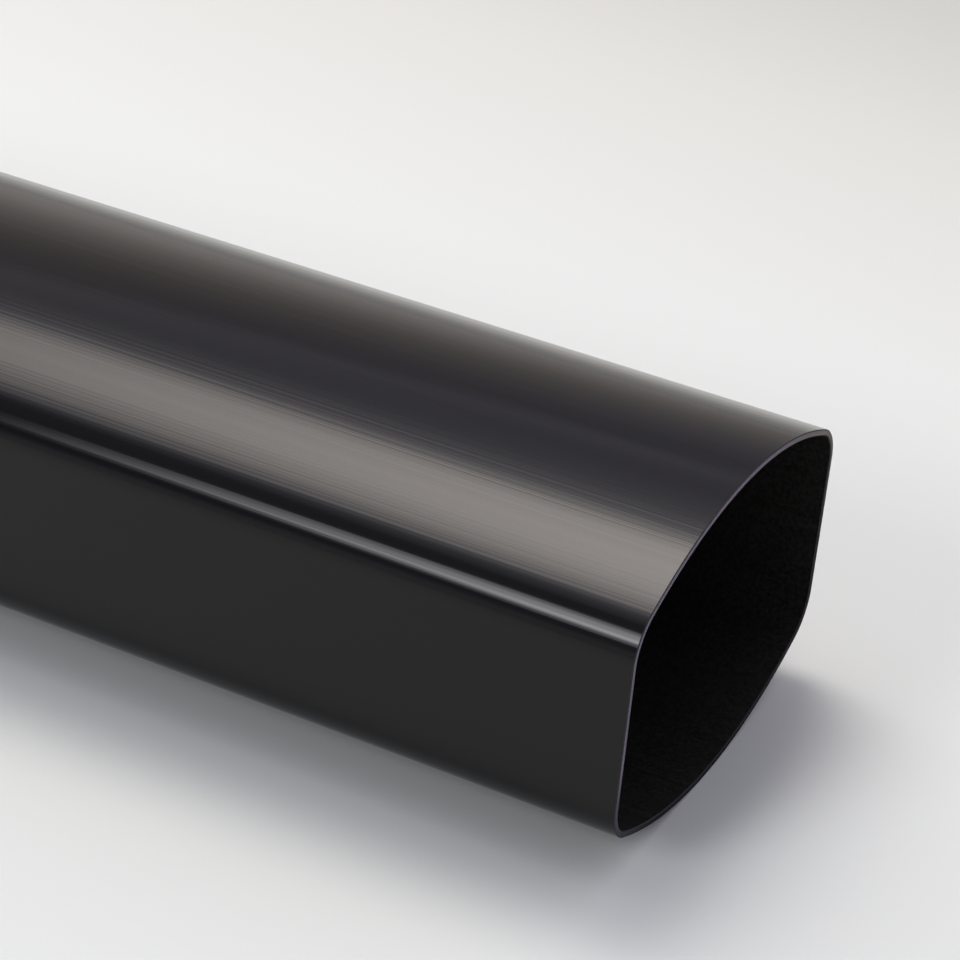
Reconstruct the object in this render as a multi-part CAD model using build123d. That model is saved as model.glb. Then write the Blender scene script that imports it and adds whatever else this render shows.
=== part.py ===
"""Plastic downpipe: one straight extruded length of thin-walled rainwater pipe.

The section is a barrel: two narrow flat sides, two wide faces that bulge
outwards, and four rounded corners. The wall is the same all round. The pipe
lies on one bulged face, with its length along X, its flat sides towards -Y and
+Y, and the lowest line of the lower bulge on z = 0.
"""
from build123d import *
import os
from math import asin, cos, sin, sqrt

# Driving dimensions in millimetres
width = 100.0
side_height = 46.0
bulge_rise = 13.0
corner_radius = 11.0
wall = 1.4
length = 2500.0
edge_break = 0.2

# The side height runs between the sharp corners that the bulges would make with
# the flat sides. Each bulge is one arc through two of them and its own crown. It
# is drawn as two halves that meet at the crown, so that any mesh made from the
# solid has points on the pipe's highest and lowest lines.
depth = side_height + 2 * bulge_rise
bulge_radius = ((width / 2) ** 2 + bulge_rise ** 2) / (2 * bulge_rise)
bulge_centre_height = depth / 2 - bulge_radius


def barrel_outline(inset):
    """The section's closed outline, moved inwards by inset all the way round."""
    side = width / 2 - inset
    crown = depth / 2 - inset
    arc_radius = bulge_radius - inset
    corner = bulge_centre_height + sqrt(arc_radius ** 2 - side ** 2)
    half_turn = asin(side / arc_radius) / 2
    shoulder = arc_radius * sin(half_turn)
    shoulder_height = bulge_centre_height + arc_radius * cos(half_turn)
    outline = make_face([
        Line((side, -corner), (side, corner)),
        ThreePointArc((side, corner), (shoulder, shoulder_height), (0, crown)),
        ThreePointArc((0, crown), (-shoulder, shoulder_height), (-side, corner)),
        Line((-side, corner), (-side, -corner)),
        ThreePointArc((-side, -corner), (-shoulder, -shoulder_height), (0, -crown)),
        ThreePointArc((0, -crown), (shoulder, -shoulder_height), (side, -corner)),
    ])
    corners = [vertex for vertex in outline.vertices() if abs(vertex.X) > side / 2]
    return fillet(corners, corner_radius - inset)


def downpipe():
    """The pipe, sawn square at both ends, with the saw's sharp edges taken off.

    The section is one face with its bore as a hole, and its faces aren't merged
    after the extrude, because merging would rub out the crown lines.
    """
    section = Face(barrel_outline(0).wire(), [barrel_outline(wall).wire()])
    start = Plane(origin=(-length / 2, 0, depth / 2), x_dir=(0, 1, 0), z_dir=(1, 0, 0))
    pipe = extrude(start * section, amount=length, clean=False)
    sawn_faces = pipe.faces().filter_by(Axis.X)
    rim_edges = [edge for face in sawn_faces for edge in face.edges()]
    return chamfer(rim_edges, edge_break)


parts = {"downpipe": downpipe()}

os.makedirs("parts", exist_ok=True)
for node, solid in parts.items():
    export_step(solid, f"parts/{node}.step")

print(f"section {width} wide, {depth} deep, bulge radius {bulge_radius:.2f}, bore {width - 2 * wall} wide")
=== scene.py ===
# %% [markdown]
# # A length of black plastic downpipe
#
# The object is one straight length of extruded rainwater pipe. A hot die gives it a section
# like a barrel lying down: two narrow flat sides, two wide faces that bulge outwards, and four
# rounded corners, with the same thin wall all round. A saw then cuts it square at both ends.
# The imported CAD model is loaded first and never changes. Everything below adds the looks: a
# finely stepped skin, so that reflections run over it without facets, and the finishes of the
# skin, the bore, the sawn rims and their broken edges.

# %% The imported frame
from math import asin, atan2, cos, degrees, pi, radians, sin, sqrt, tan

import bmesh
import bpy
from mathutils import Matrix, Vector


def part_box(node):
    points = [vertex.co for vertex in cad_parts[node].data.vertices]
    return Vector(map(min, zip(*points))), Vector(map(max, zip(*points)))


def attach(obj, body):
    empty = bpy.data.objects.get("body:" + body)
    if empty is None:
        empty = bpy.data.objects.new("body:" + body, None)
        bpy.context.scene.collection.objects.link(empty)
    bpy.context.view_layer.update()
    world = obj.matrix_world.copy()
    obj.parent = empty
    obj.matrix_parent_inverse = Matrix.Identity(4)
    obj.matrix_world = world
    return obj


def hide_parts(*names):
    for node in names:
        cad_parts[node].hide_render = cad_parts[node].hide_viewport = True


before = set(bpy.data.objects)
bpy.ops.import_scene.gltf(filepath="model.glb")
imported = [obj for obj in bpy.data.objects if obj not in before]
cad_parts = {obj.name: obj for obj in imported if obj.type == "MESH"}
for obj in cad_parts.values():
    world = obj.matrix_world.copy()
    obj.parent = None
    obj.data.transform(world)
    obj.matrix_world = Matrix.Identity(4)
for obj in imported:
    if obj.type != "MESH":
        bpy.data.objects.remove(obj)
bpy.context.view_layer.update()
cad_low, cad_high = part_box("downpipe")
print("CAD box of the pipe in metres:", tuple(cad_low), tuple(cad_high))

# %% [markdown]
# ## Sizes of the section
#
# The length and the width come from the frame. The section's other sizes are the ones the real
# die has: the height of the flat sides, the rise of each bulge, the rounding of the corners and
# the wall. A box can't tell where an arc starts or what its radius is, so the arcs' centres and
# turns are worked out from those sizes. The depth that comes out is printed beside the frame's.

# %% Sizes of the section
PIPE_LENGTH = cad_high.x - cad_low.x
PIPE_WIDTH = cad_high.y - cad_low.y
SIDE_HEIGHT = 0.046
BULGE_RISE = 0.013
CORNER_RADIUS = 0.011
WALL = 0.0014
EDGE_BREAK = 0.0002

pipe_depth = SIDE_HEIGHT + 2 * BULGE_RISE
mid_height = pipe_depth / 2
bulge_radius = ((PIPE_WIDTH / 2) ** 2 + BULGE_RISE ** 2) / (2 * BULGE_RISE)
bulge_drop = bulge_radius - pipe_depth / 2
corner_y = PIPE_WIDTH / 2 - CORNER_RADIUS
corner_z = sqrt((bulge_radius - CORNER_RADIUS) ** 2 - corner_y ** 2) - bulge_drop
bulge_half_turn = degrees(asin(corner_y / (bulge_radius - CORNER_RADIUS)))
corner_turn = 90 - bulge_half_turn
flat_height = 2 * corner_z
print(f"depth {pipe_depth * 1000:.1f} mm, in the frame {(cad_high.z - cad_low.z) * 1000:.1f} mm")
print(f"bulge radius {bulge_radius * 1000:.2f} mm, each corner turns {corner_turn:.2f} degrees")
print(f"flat between the roundings {flat_height * 1000:.2f} mm")

# %% [markdown]
# ## The skin, swept round from one flat side
#
# The die makes the real pipe by drawing one section out along a line. The same surface can be
# made the other way round: take the near flat side as one long strip and sweep its upper edge
# round the section. Each rounded corner and each bulge is a Spin about that arc's own centre,
# as if drawn with compasses, and the far flat side is one straight extrude. Spin gives true
# arcs, so the section is exact, and every step of it is a clean row of faces along the pipe.
# The strip is cut across its length first, because every row that is swept from it copies
# those cuts, and evenly sized faces shade and export better than faces two metres long.

# %% Helpers for edit mode
def start_new_piece():
    """Leaves nothing selected, so that an operator acts only on what is made next."""
    if bpy.context.mode != "OBJECT":
        bpy.ops.object.mode_set(mode="OBJECT")
    bpy.ops.object.select_all(action="DESELECT")


def select_in_edit_mode(piece, edge_test):
    """Selects, on the piece that is being edited, only the edges that pass the test."""
    bpy.ops.mesh.select_mode(type="EDGE")
    bpy.ops.mesh.select_all(action="DESELECT")
    mesh = bmesh.from_edit_mesh(piece.data)
    chosen = [edge for edge in mesh.edges if edge_test(edge)]
    for edge in chosen:
        edge.select_set(True)
    bmesh.update_edit_mesh(piece.data)
    return len(chosen)


# %% The near flat side, as a long strip
LENGTH_CUTS = 49


def is_long(edge):
    """True for an edge that runs along most of the pipe."""
    return abs(edge.verts[0].co.x - edge.verts[1].co.x) > PIPE_LENGTH / 2


start_new_piece()
bpy.ops.mesh.primitive_plane_add(
    size=1, location=(0, -PIPE_WIDTH / 2, mid_height), rotation=(radians(90), 0, 0))
pipe = bpy.context.object
pipe.name = "downpipe_skin"
pipe.scale = (PIPE_LENGTH, flat_height, 1)
bpy.ops.object.transform_apply(location=True, rotation=True, scale=True)
bpy.ops.object.mode_set(mode="EDIT")
long_edges = select_in_edit_mode(pipe, is_long)
bpy.ops.mesh.subdivide(number_cuts=LENGTH_CUTS)
print("long edges cut across:", long_edges, "strip facing", tuple(pipe.data.polygons[0].normal))

# %% The section swept round
CORNER_STEPS = 20
BULGE_STEPS = 44
ABOUT_THE_LENGTH = (1, 0, 0)
MERGE_BELOW = WALL / 50
top_of_strip = mid_height + flat_height / 2


def is_top_of_strip(edge):
    """True for an edge of the strip's upper row."""
    return all(abs(vert.co.z - top_of_strip) < EDGE_BREAK for vert in edge.verts)


def sweep_round(centre_y, centre_z, turn, steps):
    """Spins the selected row about a line along the pipe, from the near side over the top."""
    bpy.ops.mesh.spin(
        steps=steps, angle=radians(turn), center=(0, centre_y, centre_z), axis=ABOUT_THE_LENGTH)


select_in_edit_mode(pipe, is_top_of_strip)
sweep_round(-corner_y, mid_height + corner_z, corner_turn, CORNER_STEPS)
sweep_round(0, mid_height - bulge_drop, 2 * bulge_half_turn, BULGE_STEPS)
sweep_round(corner_y, mid_height + corner_z, corner_turn, CORNER_STEPS)
bpy.ops.mesh.extrude_edges_move(TRANSFORM_OT_translate={"value": (0, 0, -flat_height)})
sweep_round(corner_y, mid_height - corner_z, corner_turn, CORNER_STEPS)
sweep_round(0, mid_height + bulge_drop, 2 * bulge_half_turn, BULGE_STEPS)
sweep_round(-corner_y, mid_height - corner_z, corner_turn, CORNER_STEPS)
bpy.ops.mesh.select_all(action="SELECT")
bpy.ops.mesh.remove_doubles(threshold=MERGE_BELOW)
bpy.ops.mesh.normals_make_consistent(inside=False)
bpy.ops.object.mode_set(mode="OBJECT")
print("skin faces:", len(pipe.data.polygons), "box:", tuple(pipe.dimensions))

# %% [markdown]
# ## The wall and the sawn ends
#
# The pipe could be given its inside by a second sweep, but the real wall is one thickness
# everywhere, and that is what the Solidify modifier does: it copies the skin inwards by the
# wall and closes the two ends with rims. It also hands the bore and the rims their own
# material slots. A saw leaves a sharp arris that a hand or a file takes off, so the four rim
# edges get a very narrow bevel with a slot of its own. It is a fifth of a millimetre, yet it
# shows as the thin dark line that separates the rim from the shine of the skin.

# %% The wall
SKIN_SLOT, BORE_SLOT, RIM_SLOT, EDGE_SLOT = 0, 1, 2, 3
skin_finish = bpy.data.materials.new("extruded_skin")
bore_finish = bpy.data.materials.new("extruded_bore")
rim_finish = bpy.data.materials.new("sawn_rim")
edge_finish = bpy.data.materials.new("broken_edge")
for finish in (skin_finish, bore_finish, rim_finish, edge_finish):
    pipe.data.materials.append(finish)

bpy.ops.object.modifier_add(type="SOLIDIFY")
wall_maker = pipe.modifiers[-1]
wall_maker.thickness = WALL
wall_maker.offset = -1
wall_maker.use_even_offset = True
wall_maker.use_rim = True
wall_maker.material_offset = BORE_SLOT
wall_maker.material_offset_rim = RIM_SLOT
bpy.ops.object.modifier_apply(modifier=wall_maker.name)
print("faces with the wall:", len(pipe.data.polygons))

# %% The sawn edges taken off
SMOOTH_BELOW = 20


def is_rim_edge(edge):
    """True for an edge between a sawn rim and the skin or the bore."""
    return len({face.material_index == RIM_SLOT for face in edge.link_faces}) == 2


bpy.ops.object.mode_set(mode="EDIT")
broken_edges = select_in_edit_mode(pipe, is_rim_edge)
bpy.ops.mesh.bevel(offset=EDGE_BREAK, segments=1, affect="EDGES", material=EDGE_SLOT)
bpy.ops.object.mode_set(mode="OBJECT")
bpy.ops.object.shade_smooth_by_angle(angle=radians(SMOOTH_BELOW))
print("edges taken off:", broken_edges, "faces now:", len(pipe.data.polygons))

# %% [markdown]
# ## A map of the surface
#
# When the model is exported, its patterns are drawn into pictures of a fixed size. The die
# lines are under two millimetres apart round the section but run for metres along the pipe, so
# an even map would blur them. This map unrolls the skin and the bore side by side, wide round
# the section and squeezed along the length, and lays the sawn rings in thin strips above them.

# %% Places round the section
def turn_of(point):
    """The point's turn round the pipe's middle line, in parts of a whole turn."""
    return atan2(point.z - mid_height, point.y) / (2 * pi)


def turn_from_seam(point, seam, middle):
    """The turn from the seam, on the same side of it as the middle of the point's face."""
    turn = (turn_of(point) - seam) % 1
    return min(max(turn + round(middle - turn), 0), 1)


def reach(point):
    """The point's distance from the pipe's middle line."""
    return sqrt(point.y ** 2 + (point.z - mid_height) ** 2)


seams = {}
for slot, inset in ((SKIN_SLOT, 0), (BORE_SLOT, WALL)):
    seams[slot] = turn_of(Vector((0, -PIPE_WIDTH / 2 + inset, mid_height - flat_height / 2)))
print("the map's seams lie at these parts of a turn:", seams)

# %% The map of the surface
COLUMNS = {SKIN_SLOT: 0.01, BORE_SLOT: 0.505}
COLUMN_WIDTH = 0.485
RUN_BOTTOM, RUN_SHARE = 0.01, 0.9
RINGS_AT_AN_END = 3
RING_BOTTOM, RING_PITCH, RING_SHARE = 0.925, 0.012, 0.009


def place_on_run(point, turn, column):
    """A place in a column: across it by the turn round the section, and up it by the length."""
    return (column + COLUMN_WIDTH * turn, RUN_BOTTOM + RUN_SHARE * (point.x / PIPE_LENGTH + 0.5))


def place_on_ring(point, turn, bottom, outer_reach):
    """A place in a ring's strip, which has the ring's outer line at its top."""
    height = RING_SHARE if reach(point) >= outer_reach else 0
    return (COLUMNS[SKIN_SLOT] + 2 * COLUMN_WIDTH * turn, bottom + height)


def ring_of(face, points):
    """The face's ring at its end: 0 the outer broken edge, 1 the sawn rim, 2 the inner edge."""
    if face.material_index == RIM_SLOT:
        return 1
    outwards = Vector((0, face.center.y, face.center.z - mid_height))
    at_outside = abs(reach(face.center) - max(map(reach, points))) < EDGE_BREAK
    return 0 if at_outside and face.normal.dot(outwards) > 0 else 2


surface_map = pipe.data.uv_layers.new(name="OFBake").data
ring_faces = 0
for face in pipe.data.polygons:
    slot = face.material_index
    points = [pipe.data.vertices[index].co for index in face.vertices]
    seam = seams.get(slot, seams[SKIN_SLOT])
    middle = (turn_of(face.center) - seam) % 1
    turns = [turn_from_seam(point, seam, middle) for point in points]
    if slot in COLUMNS:
        spots = [place_on_run(point, turn, COLUMNS[slot]) for point, turn in zip(points, turns)]
    else:
        strip = ring_of(face, points) + RINGS_AT_AN_END * (face.center.x > 0)
        bottom = RING_BOTTOM + RING_PITCH * strip
        outer_reach = sorted(map(reach, points))[2]
        spots = [place_on_ring(point, turn, bottom, outer_reach) for point, turn in zip(points, turns)]
        ring_faces += 1
    for loop, spot in zip(face.loop_indices, spots):
        surface_map[loop].uv = spot
print("map drawn, faces on the sawn rings:", ring_faces)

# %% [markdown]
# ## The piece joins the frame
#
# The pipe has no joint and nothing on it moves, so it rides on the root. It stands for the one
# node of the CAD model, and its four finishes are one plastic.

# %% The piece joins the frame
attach(pipe, "root")
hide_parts("downpipe")
print("rides on root and stands for the node downpipe")

# %% [markdown]
# ## Finishes
#
# All four finishes are the same black rigid plastic, and differ in how it was parted from the
# tool. The skin slid along a polished die, so it is glossy, with hair-fine lines that run the
# whole length. The bore slid along the die's core with less care and stays duller. The rims
# were torn by saw teeth, and their edges were scraped; the rims also carry painted reflection
# and painted shade in their tone. Each mark comes from noise on object coordinates, which needs
# no picture and keeps each mark on its place on the pipe. Stretched a few hundredfold along X,
# that noise turns from grains into lines.

# %% Helpers for node materials
def fill(tree, node, values):
    """Fills the node's inputs, each with a plain value or from another node's socket."""
    for name, value in values.items():
        if isinstance(value, bpy.types.NodeSocket):
            tree.links.new(value, node.inputs[name])
        else:
            node.inputs[name].default_value = value


def add_node(tree, kind, values, **settings):
    """Adds a node, makes its settings and then fills its inputs."""
    node = tree.nodes.new(kind)
    for name, value in settings.items():
        setattr(node, name, value)
    fill(tree, node, values)
    return node


def start_finish(finish):
    """Starts a material's node tree with only its surface shader and output."""
    finish.use_nodes = True
    tree = finish.node_tree
    tree.nodes.clear()
    surface = tree.nodes.new("ShaderNodeBsdfPrincipled")
    add_node(tree, "ShaderNodeOutputMaterial", {"Surface": surface.outputs["BSDF"]})
    return tree, surface


# %% Helpers for patterns
GREY = (1, 1, 1)
NOISE_LOW, NOISE_HIGH = 0.3, 0.7


def noise_on_pipe(tree, grains_per_metre, detail):
    """Noise on object coordinates, with the given grains to the metre along X, Y and Z."""
    place = tree.nodes.new("ShaderNodeTexCoord").outputs["Object"]
    stretched = add_node(tree, "ShaderNodeMapping", {"Vector": place, "Scale": grains_per_metre})
    noise = add_node(tree, "ShaderNodeTexNoise", {
        "Vector": stretched.outputs["Vector"], "Scale": 1, "Detail": detail})
    return noise.outputs["Fac"]


def lines_along_pipe(tree, spacing, run, detail):
    """Noise drawn out along the pipe: about one line for each spacing round the section."""
    return noise_on_pipe(tree, (1 / run, 1 / spacing, 1 / spacing), detail)


def even_grains(tree, size, detail):
    """Noise in even grains of the given size in metres."""
    return noise_on_pipe(tree, (1 / size, 1 / size, 1 / size), detail)


def remap(tree, value, low, high, new_low, new_high):
    """Maps a value from one range to another, held at both ends."""
    ranges = {0: value, 1: low, 2: high, 3: new_low, 4: new_high}
    return add_node(tree, "ShaderNodeMapRange", ranges).outputs["Result"]


def spread_noise(tree, noise, low, high):
    """Spreads noise, which seldom leaves its middle, over the range from low to high."""
    return remap(tree, noise, NOISE_LOW, NOISE_HIGH, low, high)


def tint_stops(tree, place, stops):
    """A colour ramp through (share, level, tint) stops, read at a place from 0 to 1."""
    ramp = tree.nodes.new("ShaderNodeValToRGB")
    while len(ramp.color_ramp.elements) < len(stops):
        ramp.color_ramp.elements.new(0.5)
    for element, (share, level, tint) in zip(ramp.color_ramp.elements, stops):
        element.position = share
        element.color = (*(level * part for part in tint), 1)
    tree.links.new(place, ramp.inputs["Fac"])
    return ramp.outputs["Color"]


def relief(tree, height, depth, under=None):
    """A height pattern of the given depth in metres, laid over the relief under it, if any."""
    values = {"Strength": 1, "Distance": depth, "Height": height}
    if under is not None:
        values["Normal"] = under
    return add_node(tree, "ShaderNodeBump", values).outputs["Normal"]


# %% [markdown]
# ### The skin and the bore
#
# Two sets of lines lie over each other on the skin: the die's own scratches, about two
# millimetres apart, and finer hairs between them. Both are relief, because a scratch in black
# gloss shows only by bending what the gloss mirrors. The roughness follows the die's scratches
# too, so that the bands have slightly uneven edges. The bore has hardly any gloss to bend, so
# besides its lines it has more roughness and a faint speckle in its black.

# %% The glossy skin
EXTRUDED_SHINE = 0.28
SKIN_BLACK = (0.0027, 0.0026, 0.0028, 1)
DIE_LINE_DEPTH = 1.7e-5
HAIR_LINE_DEPTH = 1.2e-5

tree, surface = start_finish(skin_finish)
die_lines = lines_along_pipe(tree, spacing=0.0018, run=0.7, detail=2)
hair_lines = lines_along_pipe(tree, spacing=0.0005, run=0.25, detail=1)
die_relief = relief(tree, die_lines, DIE_LINE_DEPTH)
fill(tree, surface, {
    "Base Color": SKIN_BLACK,
    "Specular IOR Level": EXTRUDED_SHINE,
    "Roughness": spread_noise(tree, die_lines, 0.11, 0.16),
    "Normal": relief(tree, hair_lines, HAIR_LINE_DEPTH, under=die_relief)})
print("skin:", len(tree.nodes), "nodes")

# %% The duller bore
BORE_TINT = (1, 1, 0.84)
CORE_LINE_DEPTH = 2e-5
SPECKLE = 0.0008

tree, surface = start_finish(bore_finish)
core_lines = lines_along_pipe(tree, spacing=0.0012, run=0.3, detail=4)
speckle = even_grains(tree, SPECKLE, detail=2)
fill(tree, surface, {
    "Base Color": tint_stops(tree, speckle, ((0.36, 0.004, BORE_TINT), (0.64, 0.017, BORE_TINT))),
    "Specular IOR Level": EXTRUDED_SHINE,
    "Roughness": spread_noise(tree, core_lines, 0.42, 0.58),
    "Normal": relief(tree, core_lines, CORE_LINE_DEPTH)})
print("bore:", len(tree.nodes), "nodes")

# %% [markdown]
# ### The sawn rims and their broken edges
#
# A saw pulls a fuzz of torn plastic over the rim, and the fuzz looks grey. How that grey
# changes over the rim is painted reflection and painted shade: the tone is lighter at the top
# and towards the near side, which would mirror the pale floor, and the lower far side, which
# would mirror the pipe's own shadow, is painted almost as black as the skin. A dot product with
# a leaning arrow tells how far a point lies towards the lighter side, and a ramp turns that into
# a tone. A painted reflection also makes the rim cooler on the near side and warmer on the far
# one. The broken edges were scraped with a blade, so they are dull, nicked and dark.

# %% The sawn rims
RIM_SHINE = 0.03
SAW_MARKS_PER_METRE = (900, 350, 4500)
SAW_MARK_DEPTH = 1.5e-5
# The arrow points to the rim's upper near side, which gets painted reflection; the lower far side gets
# painted shade.
TO_PAINTED_LIGHT_SIDE = (0, -0.35, 1)
PAINTED_LIGHT_FROM, PAINTED_LIGHT_TO = 0.015, 0.08
WARM_GREY, LAVENDER = (1.06, 1, 0.93), (1.06, 0.92, 1.2)


def multiply_colours(tree, first, second):
    """The product of two colours, each a plain colour or another node's socket."""
    product = add_node(
        tree, "ShaderNodeMix", {"Factor": 1, "A": first, "B": second},
        data_type="RGBA", blend_type="MULTIPLY")
    return product.outputs["Result"]


tree, surface = start_finish(rim_finish)
place = tree.nodes.new("ShaderNodeTexCoord").outputs["Object"]
across = add_node(tree, "ShaderNodeSeparateXYZ", {"Vector": place})
towards = add_node(
    tree, "ShaderNodeVectorMath", {0: place, 1: TO_PAINTED_LIGHT_SIDE}, operation="DOT_PRODUCT")
painted_light_share = remap(tree, towards.outputs["Value"], PAINTED_LIGHT_FROM, PAINTED_LIGHT_TO, 0, 1)
# The rim's tone: partly its own sawn grey, and its change over the rim is painted reflection and
# painted shade.
rim_grey_with_painted_light = tint_stops(tree, painted_light_share, (
    (0.0, 0.014, GREY), (0.14, 0.04, GREY), (0.35, 0.1, GREY), (0.5, 0.19, GREY),
    (0.65, 0.16, GREY), (1.0, 0.18, GREY)))
to_far_side = remap(tree, across.outputs["Y"], -PIPE_WIDTH / 2, PIPE_WIDTH / 2, 0, 1)
# A painted reflection tint: cooler on the near side, warmer on the far one.
painted_reflection_tint = tint_stops(tree, to_far_side, ((0.55, 1, LAVENDER), (0.85, 1, WARM_GREY)))
saw_marks = noise_on_pipe(tree, SAW_MARKS_PER_METRE, detail=3)
fill(tree, surface, {
    "Base Color": multiply_colours(tree, rim_grey_with_painted_light, painted_reflection_tint),
    "Specular IOR Level": RIM_SHINE,
    "Roughness": spread_noise(tree, saw_marks, 0.5, 0.7),
    "Normal": relief(tree, saw_marks, SAW_MARK_DEPTH)})
print("rims:", len(tree.nodes), "nodes")

# %% The broken edges
EDGE_SHINE = 0.1
EDGE_TINT = (1, 0.95, 1.1)
NICK = 0.0009

tree, surface = start_finish(edge_finish)
nicks = even_grains(tree, NICK, detail=2)
scrape_tone = tint_stops(tree, nicks, ((NOISE_LOW, 0.030, EDGE_TINT), (NOISE_HIGH, 0.045, EDGE_TINT)))
fill(tree, surface, {
    "Base Color": scrape_tone,
    "Specular IOR Level": EDGE_SHINE,
    "Roughness": spread_noise(tree, nicks, 0.45, 0.65)})
print("edges:", len(tree.nodes), "nodes")

# %% [markdown]
# ## The floor
#
# The pipe lies on a pale floor under soft light. The floor is one large plane, wide enough to
# fill the picture from every side, and it is no part of the object. Black gloss mirrors the
# floor at a low angle, far more of it than the picture shows, and a floor of one tone would put
# a hard bright edge on the pipe. So shade is painted into the floor's colour beyond the part
# that the picture shows, standing in for a dimmer room, so that the pipe mirrors it darker.
# This painted shade is deepest a little over a metre away from the pipe, and the colour comes
# back by four metres, where the lamps' light falls off by itself.

# %% The floor
FLOOR_SIZE = 60
FLOOR_COLOUR = (0.84, 0.885, 0.848, 1)
FLOOR_DULLNESS, FLOOR_SHINE = 0.9, 0.1
# The floor's painted shade: its tint, and where it starts and ends away from the pipe.
PAINTED_SHADE_TINT = (1.015, 1, 0.965)
PAINTED_SHADE_FROM, PAINTED_SHADE_TO = 0.2, 4.0


def reckon(tree, operation, *values):
    """One sum, on values that are plain numbers or other nodes' sockets."""
    node = add_node(tree, "ShaderNodeMath", dict(enumerate(values)), operation=operation)
    return node.outputs["Value"]


start_new_piece()
bpy.ops.mesh.primitive_plane_add(size=FLOOR_SIZE, location=(0, 0, 0))
floor = bpy.context.object
floor.name = "floor"
pale = bpy.data.materials.new("pale_floor")
floor.data.materials.append(pale)
tree, surface = start_finish(pale)
place = tree.nodes.new("ShaderNodeTexCoord").outputs["Object"]
across = add_node(tree, "ShaderNodeSeparateXYZ", {"Vector": place})
distance = reckon(tree, "ABSOLUTE", across.outputs["Y"])
# Painted shade in the floor's colour: darkest a little over a metre away, pale again by four metres.
floor_painted_shade = tint_stops(tree, remap(tree, distance, PAINTED_SHADE_FROM, PAINTED_SHADE_TO, 0, 1), (
    (0.0, 1.0, GREY), (0.037, 0.9, PAINTED_SHADE_TINT), (0.068, 0.76, PAINTED_SHADE_TINT), (0.15, 0.61, PAINTED_SHADE_TINT),
    (0.29, 0.58, PAINTED_SHADE_TINT), (0.48, 0.72, PAINTED_SHADE_TINT), (0.74, 0.95, PAINTED_SHADE_TINT), (1.0, 1.0, PAINTED_SHADE_TINT)))
fill(tree, surface, {
    "Base Color": multiply_colours(tree, FLOOR_COLOUR, floor_painted_shade),
    "Specular IOR Level": FLOOR_SHINE,
    "Roughness": FLOOR_DULLNESS})
print("floor across:", FLOOR_SIZE, "m")

# %% [markdown]
# ## The camera
#
# The camera stands in front of the near end, to its left and above it, and looks down at the
# end with a long lens. Its place is given from the middle of that end, because the end is what
# the picture is about, and the same numbers stay right if the pipe is made longer. It is turned
# by its azimuth and elevation instead of being aimed at a point, and then rolled a little, as a
# camera in the hand is.

# %% The camera
near_end = Vector((cad_high.x, 0, mid_height))
CAMERA_FROM_END = Vector((0.17639, -0.50014, 0.33144))
VIEW_AZIMUTH = 25.195
VIEW_ELEVATION = 29.825
VIEW_ROLL = 5.27
LENS = 114.61
SENSOR = 36


def turned_to(place, right, up, backwards):
    """The matrix that puts a camera or lamp at a place, with its own axes in these ways."""
    return Matrix.Translation(place) @ Matrix((right, up, backwards)).transposed().to_4x4()


azimuth, elevation = radians(VIEW_AZIMUTH), radians(VIEW_ELEVATION)
backwards = Vector((sin(azimuth) * cos(elevation), -cos(azimuth) * cos(elevation), sin(elevation)))
level_right = Vector((0, 0, 1)).cross(backwards).normalized()
level_up = backwards.cross(level_right)
roll = radians(VIEW_ROLL)
camera_right = level_right * cos(roll) + level_up * sin(roll)
camera_up = level_up * cos(roll) - level_right * sin(roll)

bpy.ops.object.camera_add()
camera = bpy.context.object
camera.data.lens = LENS
camera.data.sensor_width = SENSOR
camera.matrix_world = turned_to(near_end + CAMERA_FROM_END, camera_right, camera_up, backwards)
bpy.context.scene.camera = camera
print("camera at", tuple(camera.location))

# %% [markdown]
# ## Light
#
# A gloss black surface has almost no colour of its own, so what it shows is the room. Each
# band on the pipe is a lamp or a part of the room seen in its skin. A plain area lamp would
# give bands with hard edges. Cloth-fronted lamps are brightest near the middle and fade towards
# their edges, and the lamps here fade in the same way: their nodes read the place on the lamp's
# own face and look up the strength in two ramps, one along the lamp and one across it. The
# bands across can climb or draw together along the lamp, as if it hung a little askew.

# %% A lamp that fades across its face
def fade_stops(tree, place, stops):
    """A ramp through (share, strength) stops, read at a place from 0 to 1."""
    return tint_stops(tree, place, [(share, strength, GREY) for share, strength in stops])


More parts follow.
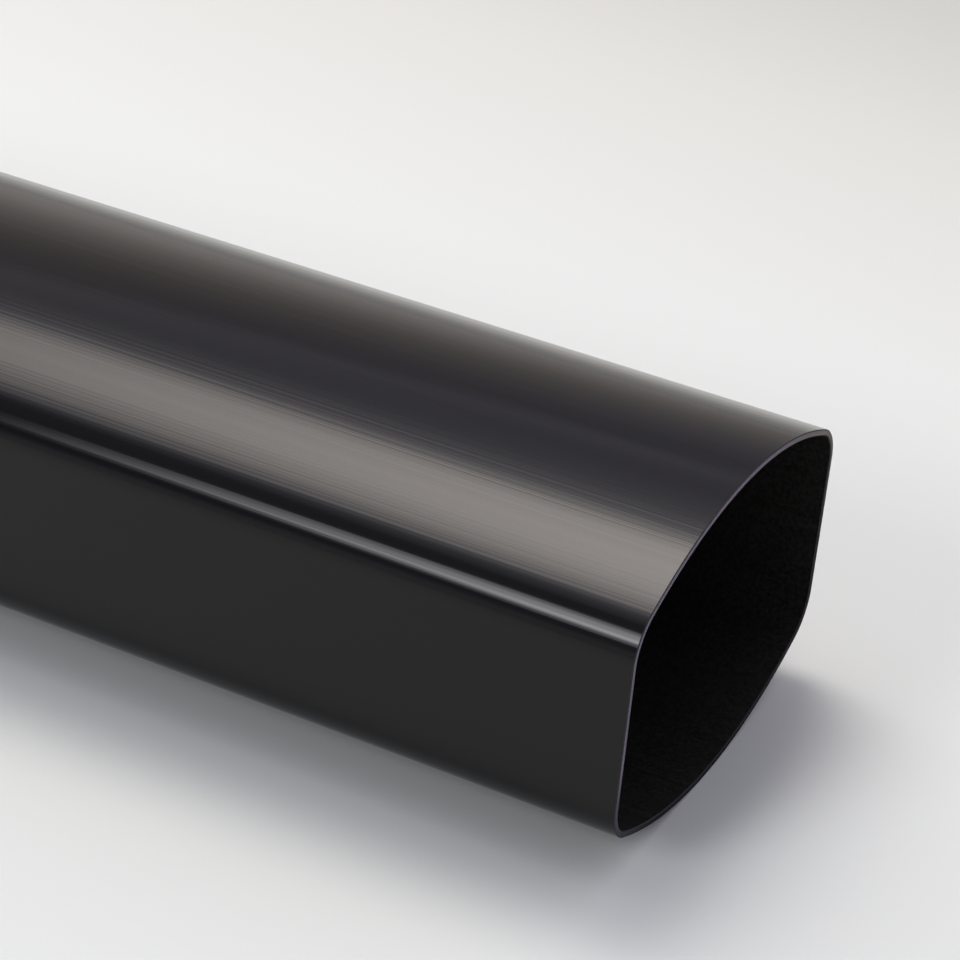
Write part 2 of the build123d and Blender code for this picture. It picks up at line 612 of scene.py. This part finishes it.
def soft_lamp(name, place, facing, size, radiance, colour, along, across,
              pivot, climb=0, taper=0, core=0):
    """A flat lamp, its long way along X, with its strength in stops along and across its face.

    From the place where the share along is pivot, the bands across the face climb along it, and
    they draw together towards the share across that is called core.
    """
    bpy.ops.object.light_add(type="AREA", location=place)
    lamp = bpy.context.object
    lamp.name = name
    side_way = Vector((1, 0, 0))
    up_way = side_way.cross(Vector(facing).normalized())
    lamp.matrix_world = turned_to(place, side_way, up_way, side_way.cross(up_way))
    light = lamp.data
    light.shape = "RECTANGLE"
    light.size, light.size_y = size
    light.energy = radiance * size[0] * size[1] * pi
    light.color = colour
    light.use_nodes = True
    tree = light.node_tree
    tree.nodes.clear()
    face = tree.nodes.new("ShaderNodeNewGeometry")
    split = add_node(tree, "ShaderNodeSeparateXYZ", {"Vector": face.outputs["Parametric"]})
    past_pivot = reckon(tree, "SUBTRACT", pivot, split.outputs["X"])
    from_core = reckon(tree, "SUBTRACT", split.outputs["Y"], core)
    spread = reckon(tree, "ADD", reckon(tree, "MULTIPLY", past_pivot, taper), 1)
    drawn_in = reckon(tree, "ADD", reckon(tree, "MULTIPLY", from_core, spread), core)
    band = reckon(tree, "SUBTRACT", drawn_in, reckon(tree, "MULTIPLY", past_pivot, climb))
    strength = reckon(
        tree, "MULTIPLY", fade_stops(tree, split.outputs["X"], along), fade_stops(tree, band, across))
    emission = add_node(tree, "ShaderNodeEmission", {"Strength": strength})
    add_node(tree, "ShaderNodeOutputLight", {"Surface": emission.outputs["Emission"]})
    lamp.visible_camera = False
    return lamp


# %% [markdown]
# ### The long lamp overhead
#
# A long soft lamp hangs overhead, a little behind the pipe, and gives the wide warm band on the
# near half of the upper bulge. One lamp with a long fade would do, but the light round the band
# is cooler than the band, so a second, wider and fainter lamp hangs just above the first. Their
# edges are shares of their height, because a direction seen in the skin is such a share.

# %% The long lamp overhead and the glow round it
OVERHEAD_HEIGHT = 2.6
GLOW_HEIGHT = 2.7
LAMP_START, LAMP_END = -1.05, -0.10
FACE_FRONT, FACE_BACK = -0.02, 0.66
GLOW_FRONT, GLOW_BACK = -0.60, 1.00
DOWNWARDS = Vector((0, 0, -1))
ALONG_OVERHEAD = ((0.0, 0.0), (0.79, 0.97), (0.86, 0.97), (1.0, 0.0))
OVERHEAD_PIVOT = 0.78


def lamp_overhead(name, height, front, back, **looks):
    """A lamp that faces down over the pipe; its front and back edges are shares of its height."""
    place = near_end + height * Vector(((LAMP_START + LAMP_END) / 2, (front + back) / 2, 1))
    size = (height * (LAMP_END - LAMP_START), height * (back - front))
    return soft_lamp(
        name, place, DOWNWARDS, size, along=ALONG_OVERHEAD, pivot=OVERHEAD_PIVOT, **looks)


overhead = lamp_overhead(
    "overhead_lamp", OVERHEAD_HEIGHT, FACE_FRONT, FACE_BACK,
    radiance=7.0,
    colour=(1.10, 0.99, 0.87),
    across=((0.0, 0.0), (0.13, 0.22), (0.28, 0.82), (0.4, 1.0), (0.65, 0.94), (0.72, 0.82),
            (0.79, 0.6), (0.85, 0.22), (0.91, 0.06), (1.0, 0.0)),
    taper=0.7,
    core=0.5)
glow = lamp_overhead(
    "overhead_glow", GLOW_HEIGHT, GLOW_FRONT, GLOW_BACK,
    radiance=3.3,
    colour=(1.02, 1.0, 1.05),
    across=((0.0, 0.0), (0.08, 0.09), (0.2, 0.17), (0.29, 0.34), (0.36, 0.54), (0.42, 0.6),
            (0.5, 0.85), (0.6, 0.85), (0.72, 0.5), (0.78, 0.31), (0.87, 0.16), (1.0, 0.03)),
    taper=1.4,
    core=0.66)
print("overhead lamps:", overhead.name, glow.name)

# %% [markdown]
# ### The strip lamp in front
#
# The near upper corner turns through 64 degrees in little more than a centimetre, so even a
# large lamp shows there as a thin line. A narrow tube would give a line as thin as a hair. This
# lamp stands low in front, faces the pipe and is over a metre tall. Its upper part is half as
# strong as its lower part, which gives the line its bright core and softer upper flank.

# %% The strip lamp in front
STRIP_DISTANCE = 2.0
STRIP_ELEVATION = 33.5
STRIP_HALF_ANGLE = 18
STRIP_START, STRIP_END = -0.65, -0.15

strip_way = Vector((0, -cos(radians(STRIP_ELEVATION)), sin(radians(STRIP_ELEVATION))))
strip_middle = Vector(((STRIP_START + STRIP_END) / 2, 0, 0))
strip_height = 2 * STRIP_DISTANCE * tan(radians(STRIP_HALF_ANGLE))
strip = soft_lamp(
    "strip_lamp",
    place=near_end + STRIP_DISTANCE * (strip_way + strip_middle),
    facing=-strip_way,
    size=(STRIP_DISTANCE * (STRIP_END - STRIP_START), strip_height),
    radiance=16.2,
    colour=(1.0, 1.0, 1.04),
    along=((0.0, 0.0), (0.64, 1.0), (0.8, 1.0), (1.0, 0.0)),
    across=((0.0, 0.0), (0.1, 0.03), (0.2, 0.15), (0.27, 0.43), (0.34, 0.9), (0.4, 1.0),
            (0.46, 0.56), (0.64, 0.50), (0.76, 0.29), (0.82, 0.16), (0.87, 0.0)),
    pivot=0.58,
    climb=0.17)
print("strip lamp:", strip.name, "facing", tuple(-strip_way))

# %% [markdown]
# ### The room
#
# What is no lamp is the room: a plain wall behind, palest near the floor, with a paler ceiling
# over it, and a front that is dim between its floor and its ceiling. Walls could be built, but
# nothing of them is seen except in the pipe's skin, so the world shader paints the room by
# direction. Behind the pipe its levels climb to one side, so the height that the ramps read
# there is taken along a way that leans.

# %% The room behind
WARM, PLAIN, COOL = (1.09, 1.0, 0.95), (1.08, 1.0, 1.03), (1.05, 1.0, 1.17)
WALL_LEAN, WALL_START = (1.5, 0, 1.0), 0.65
CEILING_LEAN = (0.39, 0, 1.0)

world = bpy.data.worlds.new("plain_room")
bpy.context.scene.world = world
world.use_nodes = True
tree = world.node_tree
tree.nodes.clear()
direction = tree.nodes.new("ShaderNodeTexCoord").outputs["Generated"]
split = add_node(tree, "ShaderNodeSeparateXYZ", {"Vector": direction})


def leaning_height(lean):
    """Height in the room along a way that leans, so that its levels climb to one side."""
    height = add_node(tree, "ShaderNodeVectorMath", {0: direction, 1: lean}, operation="DOT_PRODUCT")
    return height.outputs["Value"]


wall_of_room = tint_stops(tree, reckon(tree, "ADD", leaning_height(WALL_LEAN), WALL_START), (
    (0.0, 0.64, WARM), (0.2, 0.50, WARM), (0.3, 0.41, WARM), (0.45, 0.355, PLAIN),
    (0.62, 0.31, COOL)))
ceiling_of_room = tint_stops(tree, leaning_height(CEILING_LEAN), (
    (0.38, 0.0, COOL), (0.415, 0.38, COOL), (0.46, 0.20, COOL), (0.52, 0.20, COOL),
    (0.6, 0.27, COOL)))
back_of_room = add_node(
    tree, "ShaderNodeMix", {"Factor": 1, "A": wall_of_room, "B": ceiling_of_room},
    data_type="RGBA", blend_type="ADD")
print("back of the room made")

# %% The room in front, and both together
BACK_FROM, BACK_TO = -0.25, 0.15

front_of_room = tint_stops(tree, split.outputs["Z"], (
    (0.0, 0.66, COOL), (0.065, 0.56, COOL), (0.16, 0.28, COOL), (0.25, 0.155, COOL),
    (0.55, 0.155, COOL), (0.72, 0.27, COOL), (0.83, 0.29, COOL), (0.9, 0.37, COOL),
    (1.0, 0.36, PLAIN)))
towards_back = remap(tree, split.outputs["Y"], BACK_FROM, BACK_TO, 0, 1)
room = add_node(
    tree, "ShaderNodeMix",
    {"Factor": towards_back, "A": front_of_room, "B": back_of_room.outputs["Result"]},
    data_type="RGBA")
background = add_node(
    tree, "ShaderNodeBackground", {"Color": room.outputs["Result"], "Strength": 1})
add_node(tree, "ShaderNodeOutputWorld", {"Surface": background.outputs["Background"]})
print("room made:", len(tree.nodes), "nodes")

# %% [markdown]
# ## The end
#
# The Standard view shows a colour about as it is written, so the black stays black.

# %% The picture's tones
bpy.context.scene.view_settings.view_transform = "Standard"
print("view:", bpy.context.scene.view_settings.view_transform)
